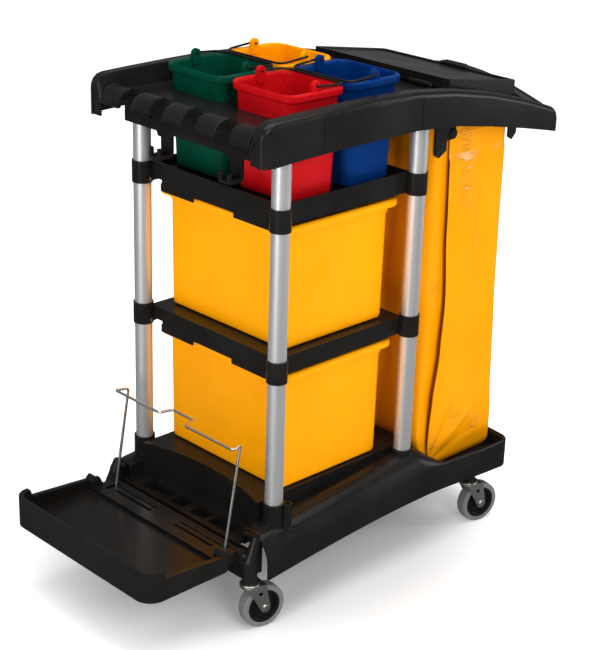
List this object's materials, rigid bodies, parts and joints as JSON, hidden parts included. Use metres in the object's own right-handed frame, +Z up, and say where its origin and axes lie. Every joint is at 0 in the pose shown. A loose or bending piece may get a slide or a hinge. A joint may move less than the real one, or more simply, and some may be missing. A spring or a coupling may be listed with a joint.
{
  "type": "janitor cart",
  "caption": "Janitor cart with shelves, slide-out bins, lift-out pails, a hung waste bag under a hinged lid, tool notches, a fold-down platform and swivel casters.",
  "frame": {"origin": "on the floor under the middle of the cart's length and width", "axes": "+Z up, +X towards the bag end, -X towards the platform end, -Y the left side as seen from the bag end looking forward"},
  "size_m": [1.179, 0.559, 1.1753],
  "materials": {
    "black_plastic": "satin black moulded plastic with a fine grain",
    "yellow_plastic": "smooth moulded plastic with a soft sheen",
    "red_plastic": "smooth moulded plastic with a soft sheen",
    "green_plastic": "smooth moulded plastic with a soft sheen",
    "blue_plastic": "smooth moulded plastic with a soft sheen",
    "coated_fabric": "glossy vinyl-coated cloth with folds and creases",
    "zinc": "bright zinc-plated steel",
    "alloy": "satin drawn tube",
    "grey_tyre": "smooth grey rubber"
  },
  "bodies": {
    "frame": {"base": "black_plastic", "platform_hinge_pins": "zinc", "post_front_left": "alloy", "post_front_right": "alloy", "post_rear_left": "alloy", "post_rear_right": "alloy", "middle_shelf": "black_plastic", "upper_shelf": "black_plastic", "hood": "black_plastic", "tool_hook_left": "black_plastic", "tool_hook_right": "black_plastic", "lid_hinge_pins": "zinc", "bag": "coated_fabric", "bag_hooks": "black_plastic", "bag_pegs": "black_plastic", "caster_stem_front_left": "zinc", "caster_stem_front_right": "zinc", "caster_stem_rear_left": "zinc", "caster_stem_rear_right": "zinc"},
    "platform": {"platform": "black_plastic"},
    "rack": {"wire_rack": "zinc"},
    "lower_bin": {"lower_bin": "yellow_plastic"},
    "upper_bin": {"upper_bin": "yellow_plastic"},
    "lid": {"lid": "black_plastic"},
    "swivel_front_left": {"caster_fork_front_left": "zinc", "caster_axle_front_left": "zinc"},
    "wheel_front_left": {"caster_bush_front_left": "zinc", "wheel_hub_front_left": "black_plastic", "tyre_front_left": "grey_tyre"},
    "swivel_front_right": {"caster_fork_front_right": "zinc", "caster_axle_front_right": "zinc"},
    "wheel_front_right": {"caster_bush_front_right": "zinc", "wheel_hub_front_right": "black_plastic", "tyre_front_right": "grey_tyre"},
    "swivel_rear_left": {"caster_fork_rear_left": "zinc", "caster_axle_rear_left": "zinc"},
    "wheel_rear_left": {"caster_bush_rear_left": "zinc", "wheel_hub_rear_left": "black_plastic", "tyre_rear_left": "grey_tyre"},
    "swivel_rear_right": {"caster_fork_rear_right": "zinc", "caster_axle_rear_right": "zinc"},
    "wheel_rear_right": {"caster_bush_rear_right": "zinc", "wheel_hub_rear_right": "black_plastic", "tyre_rear_right": "grey_tyre"},
    "pail_front_left": {"pail_front_left": "red_plastic"},
    "bail_front_left": {"bail_front_left": "black_plastic"},
    "pail_front_right": {"pail_front_right": "green_plastic"},
    "bail_front_right": {"bail_front_right": "black_plastic"},
    "pail_rear_left": {"pail_rear_left": "blue_plastic"},
    "bail_rear_left": {"bail_rear_left": "black_plastic"},
    "pail_rear_right": {"pail_rear_right": "yellow_plastic"},
    "bail_rear_right": {"bail_rear_right": "black_plastic"}
  },
  "joints": [
    {"name": "caster_swivel_front_left", "type": "hinge", "parent": "frame", "child": "swivel_front_left", "pos_m": [-0.3095, -0.241, 0.105], "axis": [0, 0, 1], "continuous": true},
    {"name": "wheel_spin_front_left", "type": "hinge", "parent": "swivel_front_left", "child": "wheel_front_left", "pos_m": [-0.28016, -0.24724, 0.051], "axis": [0.2079, 0.9781, 0], "continuous": true},
    {"name": "caster_swivel_front_right", "type": "hinge", "parent": "frame", "child": "swivel_front_right", "pos_m": [-0.3095, 0.241, 0.105], "axis": [0, 0, 1], "continuous": true},
    {"name": "wheel_spin_front_right", "type": "hinge", "parent": "swivel_front_right", "child": "wheel_front_right", "pos_m": [-0.28016, 0.23476, 0.051], "axis": [0.2079, 0.9781, 0], "continuous": true},
    {"name": "caster_swivel_rear_left", "type": "hinge", "parent": "frame", "child": "swivel_rear_left", "pos_m": [0.4145, -0.241, 0.105], "axis": [0, 0, 1], "continuous": true},
    {"name": "wheel_spin_rear_left", "type": "hinge", "parent": "swivel_rear_left", "child": "wheel_rear_left", "pos_m": [0.44384, -0.24724, 0.051], "axis": [0.2079, 0.9781, 0], "continuous": true},
    {"name": "caster_swivel_rear_right", "type": "hinge", "parent": "frame", "child": "swivel_rear_right", "pos_m": [0.4145, 0.241, 0.105], "axis": [0, 0, 1], "continuous": true},
    {"name": "wheel_spin_rear_right", "type": "hinge", "parent": "swivel_rear_right", "child": "wheel_rear_right", "pos_m": [0.44384, 0.23476, 0.051], "axis": [0.2079, 0.9781, 0], "continuous": true},
    {"name": "platform_fold", "type": "hinge", "parent": "frame", "child": "platform", "pos_m": [-0.3215, 0, 0.18], "axis": [0, 1, 0], "range_deg": [0, 90]},
    {"name": "rack_swing", "type": "hinge", "parent": "platform", "child": "rack", "pos_m": [-0.3375, 0, 0.181], "axis": [0, 1, 0], "range_deg": [-80, 0]},
    {"name": "lower_bin_slide", "type": "slide", "parent": "frame", "child": "lower_bin", "axis": [0, -1, 0], "range_m": [0, 0.42]},
    {"name": "upper_bin_slide", "type": "slide", "parent": "frame", "child": "upper_bin", "axis": [0, -1, 0], "range_m": [0, 0.42]},
    {"name": "pail_lift_front_left", "type": "slide", "parent": "frame", "child": "pail_front_left", "axis": [0, 0, 1], "range_m": [0, 0.3]},
    {"name": "bail_swing_front_left", "type": "hinge", "parent": "pail_front_left", "child": "bail_front_left", "pos_m": [-0.1025, -0.1045, 1.1643], "axis": [0, -1, 0], "range_deg": [0, 187]},
    {"name": "pail_lift_front_right", "type": "slide", "parent": "frame", "child": "pail_front_right", "axis": [0, 0, 1], "range_m": [0, 0.3]},
    {"name": "bail_swing_front_right", "type": "hinge", "parent": "pail_front_right", "child": "bail_front_right", "pos_m": [-0.1025, 0.1045, 1.1643], "axis": [0, -1, 0], "range_deg": [0, 187]},
    {"name": "pail_lift_rear_left", "type": "slide", "parent": "frame", "child": "pail_rear_left", "axis": [0, 0, 1], "range_m": [0, 0.3]},
    {"name": "bail_swing_rear_left", "type": "hinge", "parent": "pail_rear_left", "child": "bail_rear_left", "pos_m": [0.0695, -0.1045, 1.1643], "axis": [0, 1, 0], "range_deg": [0, 187]},
    {"name": "pail_lift_rear_right", "type": "slide", "parent": "frame", "child": "pail_rear_right", "axis": [0, 0, 1], "range_m": [0, 0.3]},
    {"name": "bail_swing_rear_right", "type": "hinge", "parent": "pail_rear_right", "child": "bail_rear_right", "pos_m": [0.0695, 0.1045, 1.1643], "axis": [0, 1, 0], "range_deg": [0, 187]},
    {"name": "lid_hinge", "type": "hinge", "parent": "frame", "child": "lid", "pos_m": [0.2695, 0, 1.108], "axis": [0, -1, 0], "range_deg": [0, 100]}
  ],
  "couplings": [
    {"joint": "rack_swing", "follows": "platform_fold", "ratio": -0.85}
  ]
}
